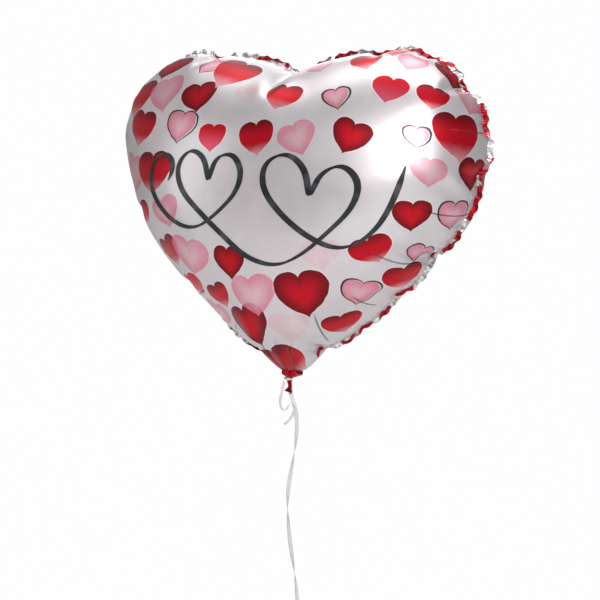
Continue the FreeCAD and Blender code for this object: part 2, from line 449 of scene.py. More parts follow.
def film_creases(n, flat, grain, sharp):
    """Fine creases that run in from the weld and die away, over a faint grain and slow waves."""
    along, inward = n.value_of("seam_along"), n.value_of("seam_inward")
    drawn_out = n.fill(n.add("CombineXYZ"), along, n.math("MULTIPLY", inward, 0.12))
    ripple = n.noise(drawn_out, 150.0, 2.0, 0.5)
    near = n.fade(inward, 0.0, 0.034, 1.0, 0.0)
    normal = n.bump(n.math("MULTIPLY", ripple, near), 0.0020, 0.7)
    normal = n.bump(sharp, 0.0016, 0.9, normal)
    normal = n.bump(n.noise(flat, 20.0, 1.0), 0.0010, 0.22, normal)
    return n.bump(grain, 0.00008, 0.3, normal)


def seam_foil():
    """The flange outside the weld: red and silver stretches, creased, with painted light and shade on its
    crinkles.
    """
    material, n = new_material("seam foil")
    flat = n.flat_place()
    patches = n.noise(flat, 34.0, 2.0, 0.6)
    fine = n.noise(flat, 210.0, 2.0)
    # Painted light and shade: the fine crinkle noise mixes dark and bright copies of the silver and of the
    # red.
    lights = n.fade(fine, 0.3, 0.7)
    silver = n.blend(lights, (0.30, 0.28, 0.29, 1), (0.72, 0.68, 0.69, 1))
    deep = n.blend(lights, (0.10, 0.0, 0.004, 1), (0.46, 0.004, 0.014, 1))
    share = n.math("ADD", patches, n.fade(n.apart(flat)[0], -0.10, 0.05, -0.06, 0.0))
    colour = n.blend(n.fade(share, 0.47, 0.52), silver, deep)
    pressed = n.math("SINE", n.math("MULTIPLY", n.value_of("seam_along"), 2 * math.pi / WELD_RIB_PITCH))
    normal = n.bump(n.math("ADD", n.math("MULTIPLY", pressed, 0.3), fine), 0.0008, 0.6)
    n.surface(colour, 0.8, n.fade(fine, 0.2, 0.8, 0.26, 0.4), normal)
    return material


def ink():
    material, n = new_material("brush ink")
    wash = n.noise(n.flat_place(), 60.0, 3.0, 0.6)
    colour = n.blend(n.fade(wash, 0.45, 0.75), (0.008, 0.009, 0.010, 1), (0.05, 0.055, 0.06, 1))
    n.surface(colour, 0.3, n.fade(wash, 0.2, 0.8, 0.30, 0.42), n.bump(wash, 0.0002, 0.3))
    return material


def red_foil():
    material, n = new_material("red foil")
    folds = n.noise(n.add("TexCoord").outputs["Object"], 210.0, 1.5, 0.5, 0.6)
    # Painted shade: the red darkens to maroon in the low parts of the fold noise, which also sets the bump.
    colour = n.blend(n.fade(folds, 0.3, 0.7), MAROON, RED)
    n.surface(colour, 0.85, n.fade(folds, 0.2, 0.8, 0.20, 0.32), n.bump(folds, 0.0022, 0.9))
    return material


def ribbon_material():
    """Pearl white curling ribbon: satin, with fine lengthwise ribs. The map's x is millimetres across it."""
    material, n = new_material("ribbon")
    place = n.flat_place()
    rib = n.math("SINE", n.math("MULTIPLY", n.apart(place)[0], 2 * math.pi / 0.5))
    streak = n.noise(n.vector("MULTIPLY", place, (3.0, 0.05, 1.0)), 1.0, 3.0, 0.6)
    colour = n.blend(n.fade(streak, 0.3, 0.7), (0.50, 0.475, 0.47, 1), (0.68, 0.655, 0.645, 1))
    normal = n.bump(n.math("ADD", rib, streak), 0.00006, 0.8)
    n.surface(colour, 0.15, n.fade(streak, 0.2, 0.8, 0.28, 0.45), normal)
    return material


def valve_material():
    material, n = new_material("valve film")
    haze = n.noise(n.add("TexCoord").outputs["Object"], 300.0, 2.0)
    colour = n.blend(n.fade(haze, 0.3, 0.7), (0.80, 0.82, 0.84, 1), (0.92, 0.93, 0.94, 1))
    n.surface(colour, 0.0, n.fade(haze, 0.2, 0.8, 0.25, 0.5), n.bump(haze, 0.0002, 0.4))
    return material


heart_fields = heart_group()
front_print = printed_film("front foil", heart_fields, False)
back_print = printed_film("back foil", heart_fields, True)
seam_look = seam_foil()
ink_look = ink()
red = red_foil()
ribbon_look = ribbon_material()
valve_look = valve_material()

# ---- cords ----

RIBBON_WIDTH = 0.0040
CURL_WIDTH = 0.0025
STRAND = [
    (-0.0014, 0.0054, -0.0056),
    (-0.0016, 0.0054, -0.0140),
    (0.0054, 0.0058, -0.0290),
    (0.0072, 0.0060, -0.0480),
    (0.0050, 0.0060, -0.0740),
    (0.0000, 0.0054, -0.1040),
    (0.0008, 0.0046, -0.1300),
    (0.0062, 0.0046, -0.1630),
    (0.0126, 0.0056, -0.1940),
    (0.0150, 0.0060, -0.2170),
    (0.0152, 0.0060, -0.2326),
]
HAND_LOOP = [
    (0.0130, 0.0060, -0.2376),
    (0.0063, 0.0056, -0.2496),
    (0.0023, 0.0050, -0.2646),
    (0.0048, 0.0046, -0.2786),
    (0.0120, 0.0046, -0.2878),
    (0.0216, 0.0050, -0.2882),
    (0.0288, 0.0056, -0.2791),
    (0.0303, 0.0062, -0.2646),
    (0.0253, 0.0064, -0.2496),
    (0.0176, 0.0060, -0.2376),
]
CURL = [
    (-0.0028, -0.0054, -0.0036),
    (-0.0042, -0.0054, -0.0094),
    (-0.0056, -0.0054, -0.0160),
    (-0.0064, -0.0054, -0.0228),
    (-0.0048, -0.0054, -0.0286),
    (0.0004, -0.0054, -0.0304),
    (0.0024, -0.0054, -0.0258),
    (0.0048, -0.0054, -0.0230),
    (0.0082, -0.0055, -0.0236),
    (0.0094, -0.0056, -0.0284),
    (0.0074, -0.0058, -0.0340),
    (0.0044, -0.0060, -0.0394),
    (-0.0004, -0.0062, -0.0430),
]


def ribbon_strip(name, line, width, widthways, thick=0.00022, cup=0.00025, taper=0.0):
    """Flat ribbon along a line. widthways gives the across direction at each point.

    cup bows the section, and taper narrows the last fifth.
    """
    tangent = unit(np.gradient(line, axis=0))
    across = unit(widthways - (widthways * tangent).sum(1)[:, None] * tangent)
    out = np.cross(tangent, across)
    run = run_of(line)
    shares = np.linspace(-1, 1, 9)
    rings, uv = [], []
    for i, place in enumerate(line):
        narrow = 1 - taper * smoothstep(run[i] / run[-1], 0.8, 1.0)
        ring = []
        for side, order in ((1, shares), (-1, shares[::-1])):
            for share in order:
                lift = cup * (share * share - 0.4) + side * thick / 2 * (1 - 0.7 * abs(share) ** 6)
                ring.append(place + across[i] * share * width / 2 * narrow + out[i] * lift)
                uv.append((share * width * 500, run[i] * 1000))
        rings.append(ring)
    return skin(name, rings, ribbon_look, True, uv)


def turning(line, keys):
    """Level across direction at each point, from (height, degrees) keys measured from +X."""
    heights, angles = zip(*sorted(keys))
    a = np.radians(np.interp(line[:, 2], heights, angles))
    a = np.convolve(np.pad(a, 6, mode="edge"), np.ones(13) / 13, mode="valid")
    return np.stack([np.cos(a), np.sin(a), np.zeros_like(a)], 1)


strand_line = route_points("strand route", STRAND)
strand = ribbon_strip("ribbon_strand", strand_line, RIBBON_WIDTH, turning(strand_line, [
    (-0.004, 30), (-0.045, 35), (-0.058, 65), (-0.070, 117), (-0.082, 170), (-0.098, 200), (-0.113, 170),
    (-0.125, 117), (-0.137, 65), (-0.155, 35), (-0.172, 65), (-0.184, 117), (-0.196, 170), (-0.233, 195),
]))
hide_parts("ribbon_upper", "ribbon_lower")

loop_line = route_points("loop route", HAND_LOOP)
loop_across = np.tile((0.25, 0.95, 0.05), (len(loop_line), 1))
loop = ribbon_strip("ribbon_hand_loop", loop_line, RIBBON_WIDTH, loop_across)
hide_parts("hand_loop")

curl_line = route_points("curl route", CURL)
curl_share = np.linspace(0, 1, len(curl_line))
curl_turn = np.radians(np.interp(curl_share, (0, 0.3, 0.5, 0.62, 0.75, 1), (20, 60, 85, 120, 70, 30)))
curl_across = np.stack([np.cos(curl_turn), np.sin(curl_turn), 0 * curl_turn], 1)
curl = ribbon_strip("ribbon_curl", curl_line, CURL_WIDTH, curl_across, thick=0.0002, cup=0.0002, taper=0.15)
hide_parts("curl_tail")


# ---- films ----

# Flat pattern of the weld line: side, shoulder and top arcs of each half.
FLAT_WIDTH = 0.444
FLAT_SHOULDER_RADIUS = 0.126
FLAT_TOP_RADIUS = 0.50
FLAT_TOP_START = math.radians(84)
FLAT_SHOULDER_Z = 0.253
FLAT_SIDE_RADIUS = 0.285
FLANGE = 0.007
TIP_HEIGHT = 0.003        # where the filled heart's point sits above the tie

# Pleats of the weld: fine ones at one even pitch, and deeper ones at a wider one.
PLEAT_SHARE = 0.40        # how much of the pleats' depth is kept
PLEAT_PITCH = 0.0155
PLEAT_DEPTH = 0.0022
PLEAT_OFFSET = 0.0018     # fine pleats lean to the front and back in turn
PLEAT_WIDTH = 0.0042
CRIMP_PITCH = 0.0135      # small crimps all along the weld
CRIMP_DEPTH = 0.0011
DEEP_OFFSET = 0.002
DEEP_WIDTH = 0.006
DEEP_PITCH = 0.056
DEEP_DEPTHS = (0.003, 0.004)


def deep_pleats(first, last):
    """Deeper pleats at an even pitch, shallower and deeper in turn: (distance from the tip, depth)."""
    places = np.arange(first, last, DEEP_PITCH)
    return [(at, DEEP_DEPTHS[k % 2]) for k, at in enumerate(places)]


RIGHT_DEEP = deep_pleats(0.050, 0.50)
LEFT_DEEP = deep_pleats(0.100, 0.56)

# The filling.
GAS_PRESSURE = 0.05
STEP = 0.9
DRAG = 0.992
TURN_BACK = 0.3           # what is left of the speed when the motion turns against the force
FINE_BAND = 0.04          # the net is finer this near to the weld
BULK = 2000               # vertices measured at one time


def flat_outline(step=0.001):
    """Closed heart from the tip, counterclockwise: side, shoulder and top arcs, then their mirror."""
    r1, r2, r3 = FLAT_SHOULDER_RADIUS, FLAT_TOP_RADIUS, FLAT_SIDE_RADIUS
    shoulder = np.array([FLAT_WIDTH / 2 - r1, FLAT_SHOULDER_Z])
    reach = np.linalg.norm(shoulder)
    along = (r3 ** 2 - (r3 - r1) ** 2 + reach ** 2) / (2 * reach)
    aside = math.sqrt(r3 ** 2 - along ** 2)
    u = shoulder / reach
    side = u * along + np.array([-u[1], u[0]]) * aside
    if side[0] > 0:
        side = u * along - np.array([-u[1], u[0]]) * aside
    top = shoulder - (r2 - r1) * np.array([math.cos(FLAT_TOP_START), math.sin(FLAT_TOP_START)])
    meet = math.atan2(*(shoulder - side)[::-1])

    def arc(centre, radius, start, end):
        count = max(2, int(abs(end - start) * radius / step))
        t = start + (end - start) * np.arange(count) / count
        return np.stack([centre[0] + radius * np.cos(t), centre[1] + radius * np.sin(t)], 1)

    notch = math.acos(-top[0] / r2)
    right = np.vstack([
        arc(side, r3, math.atan2(-side[1], -side[0]), meet),
        arc(shoulder, r1, meet, FLAT_TOP_START),
        arc(top, r2, FLAT_TOP_START, notch),
        [[0, top[1] + r2 * math.sin(notch)]],
    ])
    return np.vstack([right, right[1:-1][::-1] * [-1, 1]])


def spaced(loop, count):
    """count points spread evenly round a closed loop."""
    closed = np.vstack([loop, loop[:1]])
    run = run_of(closed)
    at = np.linspace(0, run[-1], count + 1)[:-1]
    return np.stack([np.interp(at, run, closed[:, k]) for k in (0, 1)], 1)


def inside_distance(loop, points):
    """Distance from each point to the loop, and whether it is inside."""
    nearest = np.full(len(points), 1e9)
    crossings = np.zeros(len(points), int)
    px, py = points[:, 0], points[:, 1]
    for (ax, ay), (bx, by) in zip(loop, np.roll(loop, -1, 0)):
        crossings += ((ay > py) != (by > py)) & (px < (bx - ax) * (py - ay) / (by - ay + 1e-15) + ax)
        dx, dy = bx - ax, by - ay
        t = np.clip(((px - ax) * dx + (py - ay) * dy) / (dx * dx + dy * dy), 0, 1)
        nearest = np.minimum(nearest, np.hypot(px - ax - t * dx, py - ay - t * dy))
    return nearest, crossings % 2 == 1


def lattice(loop, spacing):
    low, high = loop.min(0), loop.max(0)
    half = math.ceil((high[0] - low[0]) / 2 / spacing) + 1
    rows = []
    for j, y in enumerate(np.arange(low[1], high[1], spacing * math.sqrt(3) / 2)):
        x = (np.arange(-half, half + 1) + 0.5 * (j % 2)) * spacing
        rows.append(np.stack([x, np.full(len(x), y)], 1))
    return np.vstack(rows)


class Foil:
    """Two flat films welded round one outline, with a flange outside the weld, as a triangle net.

    flat holds each vertex's place on its film. The first `rim` vertices are the weld, shared by both films.
    """

    def __init__(self, outline, edge_spacing, middle_spacing):
        perimeter = length_of(np.vstack([outline, outline[:1]]))
        self.rim = rim = int(round(perimeter / edge_spacing / 2)) * 2
        loop = spaced(outline, rim)
        self.along = np.arange(rim) / rim * perimeter
        fine = lattice(loop, edge_spacing)
        distance, inside = inside_distance(loop, fine)
        keep = inside & (distance > 0.6 * edge_spacing)
        groups = [loop]
        if middle_spacing > edge_spacing:
            keep &= distance <= FINE_BAND
            coarse = lattice(loop, middle_spacing)
            distance, inside = inside_distance(loop, coarse)
            groups.append(coarse[inside & (distance > FINE_BAND + 0.35 * middle_spacing)])
        groups.insert(1, fine[keep])
        corners = [(i, (i + 1) % rim) for i in range(rim)]
        found = delaunay_2d_cdt([Vector(p) for p in np.vstack(groups)], corners, [list(range(rim))], 1, 1e-7)
        flat = np.array([tuple(p) for p in found[0]])
        faces = np.array([tuple(t) for t in found[2]])
        a, b, c = flat[faces[:, 0]], flat[faces[:, 1]], flat[faces[:, 2]]
        turn = (b[:, 0] - a[:, 0]) * (c[:, 1] - a[:, 1]) - (b[:, 1] - a[:, 1]) * (c[:, 0] - a[:, 0])
        faces = np.where(turn[:, None] > 0, faces, faces[:, ::-1])
        count = len(flat)
        behind = np.arange(count)
        behind[rim:] += count - rim
        self.front, self.back = faces, behind[faces][:, ::-1]
        self.flat = np.vstack([flat, flat[rim:]])
        self.film = np.concatenate([np.zeros(count), np.ones(count - rim)])
        tangent = np.roll(loop, -1, 0) - np.roll(loop, 1, 0)
        outward = unit(np.stack([tangent[:, 1], -tangent[:, 0]], 1))
        rows = max(1, int(round(FLANGE / edge_spacing)))
        last, strips, after = np.arange(rim), [], np.roll(np.arange(rim), -1)
        for row in range(rows):
            new = np.arange(rim) + len(self.flat)
            self.flat = np.vstack([self.flat, loop + outward * FLANGE * (row + 1) / rows])
            self.film = np.concatenate([self.film, np.full(rim, 2.0)])
            strips += [np.stack([last, new, new[after]], 1), np.stack([last, new[after], last[after]], 1)]
            last = new
        self.flange = np.vstack(strips)

    def stiffness(self, press, bend):
        """Springs for every edge, weak in compression as thin film is, and plates' resistance to bending."""
        flat, every = self.flat, np.vstack([self.front, self.back, self.flange])
        self.pressed = np.vstack([self.front, self.back])
        p = flat[every]
        area = 0.5 * np.abs((p[:, 1, 0] - p[:, 0, 0]) * (p[:, 2, 1] - p[:, 0, 1])
                            - (p[:, 1, 1] - p[:, 0, 1]) * (p[:, 2, 0] - p[:, 0, 0]))
        edges = np.sort(np.vstack([every[:, [0, 1]], every[:, [1, 2]], every[:, [2, 0]]]), 1)
        opposite = np.concatenate([every[:, 2], every[:, 0], every[:, 1]])
        share = np.tile(area, 3)
        key, which = np.unique(edges[:, 0].astype(np.int64) * len(flat) + edges[:, 1], return_inverse=True)
        self.i, self.j = (key // len(flat)).astype(int), (key % len(flat)).astype(int)
        self.rest = np.linalg.norm(flat[self.i] - flat[self.j], axis=1)
        self.pull = 0.9 * np.bincount(which, share) / self.rest ** 2
        self.press = press
        uses = np.bincount(which)
        order = np.argsort(which, kind="stable")
        first = np.concatenate([[0], np.cumsum(uses)])[:-1]
        two = np.flatnonzero(uses == 2)
        f0, f1 = order[first[two]], order[first[two] + 1]
        a, b, c, d = self.i[two], self.j[two], opposite[f0], opposite[f1]

        def cotangent(at, to, other):
            x, y = flat[to] - flat[at], flat[other] - flat[at]
            return (x * y).sum(1) / np.maximum(np.abs(x[:, 0] * y[:, 1] - x[:, 1] * y[:, 0]), 1e-12)

        ac, ad, bc, bd = cotangent(a, b, c), cotangent(a, b, d), cotangent(b, a, c), cotangent(b, a, d)
        self.hinge = np.stack([a, b, c, d], 1)
        self.weight = np.stack([bc + bd, ac + ad, -ac - bc, -ad - bd], 1)
        self.bend = 3 * bend / (share[f0] + share[f1])
        size = len(flat)
        self.mass = np.bincount(self.i, self.pull, size) + np.bincount(self.j, self.pull, size)
        for k in range(4):
            self.mass += 4 * np.bincount(self.hinge[:, k], self.bend * self.weight[:, k] ** 2, size)
        self.edge_ends = np.concatenate([self.i, self.j])
        self.face_ends = self.pressed.T.ravel()
        self.hinge_ends = self.hinge.T.ravel()

    def force(self, place):
        span = place[self.j] - place[self.i]
        now = np.sqrt((span * span).sum(1))
        extra = now - self.rest
        tension = self.pull * np.where(extra > 0, extra, extra * self.press) / np.maximum(now, 1e-9)
        along = span * tension[:, None]
        f = self.pressed
        push = np.cross(place[f[:, 1]] - place[f[:, 0]], place[f[:, 2]] - place[f[:, 0]]) * (GAS_PRESSURE / 6)
        curve = (place[self.hinge] * self.weight[:, :, None]).sum(1) * -self.bend[:, None]
        turned = (self.weight.T[:, :, None] * curve[None]).reshape(-1, 3)
        total = np.empty_like(place)
        for k in range(3):
            total[:, k] = (
                np.bincount(self.edge_ends, np.concatenate([along[:, k], -along[:, k]]), len(place))
                + np.bincount(self.face_ends, np.tile(push[:, k], 3), len(place))
                + np.bincount(self.hinge_ends, turned[:, k], len(place))
            )
        return total

    def inflate(self, place, steps):
        """Damped steps towards balance, slowed whenever the motion turns against the force."""
        speed = np.zeros_like(place)
        for _ in range(steps):
            push = self.force(place) / self.mass[:, None]
            speed = speed * DRAG + push * STEP
            if (speed * push).sum() < 0:
                speed *= TURN_BACK
            place = place + speed * STEP
        return place

    def carried_from(self, other, place):
        """Another net's shape, read at this net's flat places."""
        out = np.zeros((len(self.flat), 3))
        for film, faces in ((0, other.front), (1, other.back), (2, other.flange)):
            sheet = [(x, y, 0.0) for x, y in other.flat]
            tree = BVHTree.FromPolygons(sheet, [tuple(int(k) for k in f) for f in faces])
            for i in np.flatnonzero(self.film == film):
                spot, _, at, _ = tree.find_nearest((*self.flat[i], 0.0))
                a, b, c = faces[at]
                base = other.flat[a]
                sides = np.array([other.flat[b] - base, other.flat[c] - base]).T
                w = np.linalg.solve(sides, np.array(spot[:2]) - base)
                out[i] = place[a] * (1 - w.sum()) + place[b] * w[0] + place[c] * w[1]
        return out


def nearest_on_rim(net):
    """For each vertex: the nearest weld vertex and the distance to it, on the flat film."""
    loop = net.flat[:net.rim]
    which = np.zeros(len(net.flat), int)
    far = np.zeros(len(net.flat))
    for start in range(0, len(net.flat), BULK):
        part = slice(start, start + BULK)
        d = np.linalg.norm(net.flat[part, None] - loop[None], axis=2)
        which[part] = d.argmin(1)
        far[part] = d.min(1)
    return which, far


def start_pleats(net, place):
    """Draws the weld in at each pleat, so that the films fold there as they fill."""
    rim = net.rim
    perimeter = net.along[-1] + net.along[1]
    from_tip = np.minimum(net.along, perimeter - net.along)
    right = net.along < perimeter / 2
    weld = place[:rim]
    inward = np.array([0, 0, weld[:, 2].mean() + 0.02]) - weld
    inward[:, 1] = 0
    inward = unit(inward)
    push = np.zeros((rim, 3))
    for deep, here, start in ((RIGHT_DEEP, right, 0.002), (LEFT_DEEP, ~right, 0.0)):
        pleats = [(at, depth, DEEP_OFFSET, DEEP_WIDTH) for at, depth in deep]
        for k in range(2, int(perimeter / 2 / PLEAT_PITCH) - 1):
            depth = PLEAT_DEPTH * (1 + 0.4 * (k * 7 % 3 - 1))
            lean = PLEAT_OFFSET if k % 2 else -PLEAT_OFFSET
            pleats.append((k * PLEAT_PITCH + start, depth, lean, PLEAT_WIDTH))
        for at, depth, back, width in pleats:
            share = np.exp(-((from_tip - at) / width) ** 2) * here
            push += share[:, None] * (inward * depth + np.array([0, back, 0]))
    which, far = nearest_on_rim(net)
    return place + push[which] * np.exp(-(far / 0.02) ** 2)[:, None]


def fill_balloon():
    outline = flat_outline()
    random = np.random.default_rng(3)
    levels = [
        # weld spacing, middle spacing, stiffness in compression, bending stiffness, steps
        (0.0130, 0.0130, 0.00, 1e-8, 1300),
        (0.0052, 0.0085, 0.05, 1e-8, 1400),
        (0.0036, 0.0065, 0.10, 5e-9, 1100),
    ]
    net = place = calm = None
    for number, (edge, middle, press, bend, steps) in enumerate(levels):
        finer = Foil(outline, edge, middle)
        finer.stiffness(press, bend)
        if net is None:
            place = np.column_stack([finer.flat[:, 0], np.zeros(len(finer.flat)), finer.flat[:, 1]])
            place[finer.film == 0, 1] = -0.002
            place[finer.film == 1, 1] = 0.002
            place[:finer.rim, 1] = 0
        else:
            calm = finer.carried_from(net, place if number == 1 else calm)
            place = finer.carried_from(net, place)
        net = finer
        if number == 1:
            place = start_pleats(net, place)
        place = place + random.normal(0, 0.0002, place.shape) * np.array([0.3, 1, 0.3])
        place = net.inflate(place, steps)
    # The first, smooth filling at the same size as the pleated one: the pleats are eased towards it.
    middle, reach = (place.max(0) + place.min(0)) / 2, np.ptp(place, axis=0)
    calm = middle + (calm - (calm.max(0) + calm.min(0)) / 2) * reach / np.ptp(calm, axis=0)
    place = calm + (place - calm) * PLEAT_SHARE
    place[:, 2] += TIP_HEIGHT - place[:net.rim, 2].min()
    return net, crimp_weld(net, settle_shape(place))


def settle_shape(place):
    """The filled heart's own unevenness, and the gathers that fan up from the tie."""
    x, y, z = place.T
    fuller_right = 0.0115 * smoothstep(x, 0.04, 0.17) * np.exp(-((z - 0.172) / 0.065) ** 2)
    drawn_in_left = 0.0085 * smoothstep(-x, 0.005, 0.06) * np.exp(-((z - 0.070) / 0.050) ** 2)
    fuller_tie = 0.0085 * smoothstep(x, 0.0, 0.009) * (1 - smoothstep(z, 0.004, 0.036))
    fan = np.sin(13 * np.arctan2(x, z + 0.004) + 0.6)
    fan *= smoothstep(z, 0.002, 0.010) * (1 - smoothstep(z, 0.030, 0.080))
    gather = 0.0014 * fan * np.sign(y) * smoothstep(np.abs(y), 0.001, 0.006)
    return place + np.stack([fuller_right + drawn_in_left + fuller_tie, gather, 0 * x], 1)


def crimp_weld(net, place):
    """Small crimps all along the weld and flange, fading out on the films."""
    which, far = nearest_on_rim(net)
    weld = place[:net.rim]
    ahead = unit(np.roll(weld, -2, 0) - np.roll(weld, 2, 0))
    outward = unit(np.cross(ahead, (0.0, -1.0, 0.0)))
    outward *= np.sign((outward * (weld - weld.mean(0))).sum(1))[:, None]
    round_trip = 2 * math.pi * net.along / (net.along[-1] + net.along[1])
    turn = round_trip * round((net.along[-1] + net.along[1]) / CRIMP_PITCH)
    turn = turn + 1.1 * np.sin(10 * round_trip) + 0.7 * np.sin(13 * round_trip)
    push = np.sin(turn)[:, None] * np.array([0, 1, 0]) + 0.6 * np.cos(turn)[:, None] * outward
    fade = np.where(net.film == 2, 1 + far / FLANGE, np.exp(-(far / 0.009) ** 2))
    away = smoothstep(weld[:, 2], 0.02, 0.05)[which]
    return place + CRIMP_DEPTH * push[which] * (fade * away)[:, None]


TRIM_Z = 0.0062           # the films end here, inside the gathered neck
FLANGE_TRIM_Z = 0.022     # the flange runs out here


def film_piece(name, net, place, faces, material, stands_for):
    """One film of the filled balloon, made finer once."""
    low = FLANGE_TRIM_Z if faces is net.flange else TRIM_Z
    faces = faces[place[faces][:, :, 2].mean(1) > low]
    used = np.unique(faces)
    renumber = np.zeros(len(place), int)
    renumber[used] = np.arange(len(used))
    coarse = add_mesh(name, place[used], renumber[faces], material, net.flat[used])
    which, far = nearest_on_rim(net)
    add_values(coarse, "seam_along", net.along[which[used]])
    add_values(coarse, "seam_inward", far[used])
    finer = coarse.modifiers.new("finer", "SUBSURF")
    finer.levels = finer.render_levels = 1
    view = bpy.context.evaluated_depsgraph_get()
    mesh = bpy.data.meshes.new_from_object(coarse.evaluated_get(view))
    coarse.modifiers.clear()
    coarse.data = mesh
    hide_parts(stands_for)
    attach(coarse, "balloon")
    return coarse


net, filled = fill_balloon()
front = film_piece("front_film", net, filled, net.front, front_print, "front_panel")
back = film_piece("back_film", net, filled, net.back, back_print, "back_panel")
flange = film_piece("seam_flange", net, filled, net.flange, seam_look, "edge_seam")
weld_x, weld_z = flat_outline().T

# ---- brush flourish on the front film ----

# One line that draws two linked hearts, in millimetres on the flat film.
BRUSH_LINE = [
    (-92, 212), (-84, 224), (-94, 238), (-112, 234), (-118, 212), (-108, 190), (-86, 172), (-60, 168),
    (-36, 182), (-14, 202), (-8, 222), (-18, 238), (-36, 235), (-43, 216), (-44, 214), (-50, 235),
    (-68, 242), (-82, 226), (-76, 204), (-54, 184), (-28, 162), (-6, 144), (22, 136), (48, 147),
    (72, 168), (92, 190), (98, 214), (84, 230), (66, 222), (58, 204), (56, 202), (52, 226),
    (34, 240), (13, 230), (12, 206), (32, 182), (58, 162), (82, 152), (104, 162), (122, 188), (134, 230),
]
BRUSH_THIN = 2.2
BRUSH_THICK = 6.0
NIB_ANGLE = math.radians(20)
INK_LIFT = 0.00025        # metres


def smooth_line(points, per=14):
    """Curve drawn towards each point in turn, touching the middle of every stretch between them."""
    p = np.array(points, float)
    found = []
    for i in range(1, len(p) - 1):
        start = p[0] if i == 1 else (p[i - 1] + p[i]) / 2
        end = p[-1] if i == len(p) - 2 else (p[i] + p[i + 1]) / 2
        for t in np.linspace(0, 1, per, endpoint=False):
            found.append((1 - t) ** 2 * start + 2 * t * (1 - t) * p[i] + t * t * end)
    return np.array(found + [p[-1]])


def flat_to_shape(film):
    """Function from places on the flat film (metres) to places just outside the filled film."""
    mesh = film.data
    mesh.calc_loop_triangles()
    flat = np.zeros(len(mesh.loops) * 2, np.float32)
    mesh.uv_layers["flat"].data.foreach_get("uv", flat)
    flat = flat.reshape(-1, 2)
    corners = [tuple(t.loops) for t in mesh.loop_triangles]
    tree = BVHTree.FromPolygons([(x, z, 0) for x, z in flat.tolist()], corners)
    owners = np.array([loop.vertex_index for loop in mesh.loops])

    def lifted(x, z):
        spot, _, at, _ = tree.find_nearest((x, z, 0))
        loops = list(corners[at])
        a, b, c = flat[loops]
        w = np.linalg.solve(np.array([b - a, c - a]).T, np.array(spot[:2]) - a)
        weights = (1 - w.sum(), w[0], w[1])
        place, out = Vector(), Vector()
        for share, loop in zip(weights, loops):
            vertex = mesh.vertices[int(owners[loop])]
            place += vertex.co * float(share)
            out += vertex.normal * float(share)
        return place + out.normalized() * INK_LIFT

    return lifted


def brush_stroke(film):
    line = smooth_line(BRUSH_LINE)
    tangent = unit(np.gradient(line, axis=0))
    run = run_of(line)
    nib = np.array([-math.sin(NIB_ANGLE), math.cos(NIB_ANGLE)])
    width = BRUSH_THIN + (BRUSH_THICK - BRUSH_THIN) * np.abs(tangent @ nib)
    width *= np.minimum(1, 0.3 + run / 12) * np.minimum(1, 0.3 + (run[-1] - run) / 25)
    across = np.stack([-tangent[:, 1], tangent[:, 0]], 1)
    lifted = flat_to_shape(film)
    shares = (-1.0, -0.5, 0.0, 0.5, 1.0)
    verts, flat = [], []
    for place, side, wide in zip(line, across, width):
        for share in shares:
            x, z = (place + side * share * wide / 2) / 1000
            verts.append(lifted(x, z))
            flat.append((x, z))
    k = len(shares)
    faces = []
    for i in range(0, k * (len(line) - 1), k):
        faces += [(i + j + 1, i + j, i + k + j, i + k + j + 1) for j in range(k - 1)]
    stroke = add_mesh("brush_flourish", verts, faces, ink_look, flat)
    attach(stroke, "balloon")


brush_stroke(front)

# ---- neck, tail and tie ----

WAIST_RADIUS = 0.0024

# Height, share of the way from the waist out to the films, and depth of the folds.
NECK_RINGS = [
    (TRIM_Z + 0.0030, 0.93, 0.0), (TRIM_Z + 0.0015, 0.95, 0.0), (TRIM_Z, 0.97, 0.02),
    (0.0054, 0.95, 0.05), (0.0044, 0.84, 0.09), (0.0034, 0.66, 0.13), (0.0025, 0.47, 0.16),
    (0.0017, 0.28, 0.16), (0.0010, 0.12, 0.12), (0.0004, 0.03, 0.10),
    (-0.0006, 0.0, 0.08), (-0.0016, 0.0, 0.08), (-0.0030, 0.02, 0.12),
]


def film_reach(angle, z, trees):
    """How far the films are from the neck's axis, in one direction."""
    reach = 0.004
    start, outward = Vector((0, 0.0001, z)), Vector((math.cos(angle), math.sin(angle), 0))
    for tree in trees:
        spot, _, _, distance = tree.ray_cast(start, outward, 0.06)
        if spot is not None:
            reach = max(reach, distance)
    return reach


def gathered_neck():
    """Red foil funnel from inside the films down to the tie, with folds that gather at the waist."""
    trees = [BVHTree.FromObject(o, bpy.context.evaluated_depsgraph_get()) for o in (front, back)]
    random = np.random.default_rng(11)
    angles = np.linspace(0, 2 * math.pi, 120, endpoint=False)
    rim = np.array([film_reach(a, TRIM_Z + 0.0022, trees) for a in angles])
    rim = np.array([np.roll(rim, k) for k in range(-3, 4)]).mean(0)
    folds = [random.uniform(0.5, 1) * np.cos(k * angles + random.uniform(0, 6.3)) for k in (5, 8, 11, 15)]
    folds = sum(folds) / 2.2
    creases = np.abs(np.sin(4.5 * angles + 0.8)) - 0.6
    rings = []
    for z, share, fold in NECK_RINGS:
        radius = WAIST_RADIUS + (rim - WAIST_RADIUS) * share
        radius = radius * (1 + fold * (folds + creases))
        wave = 0.0006 * np.sin(3 * angles + z * 900) * (share > 0.1)
        rings.append([(r * math.cos(a), r * math.sin(a), z + w) for r, a, w in zip(radius, angles, wave)])
    neck = skin("gathered_neck", rings, red)
    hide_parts("throat")
    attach(neck, "balloon")


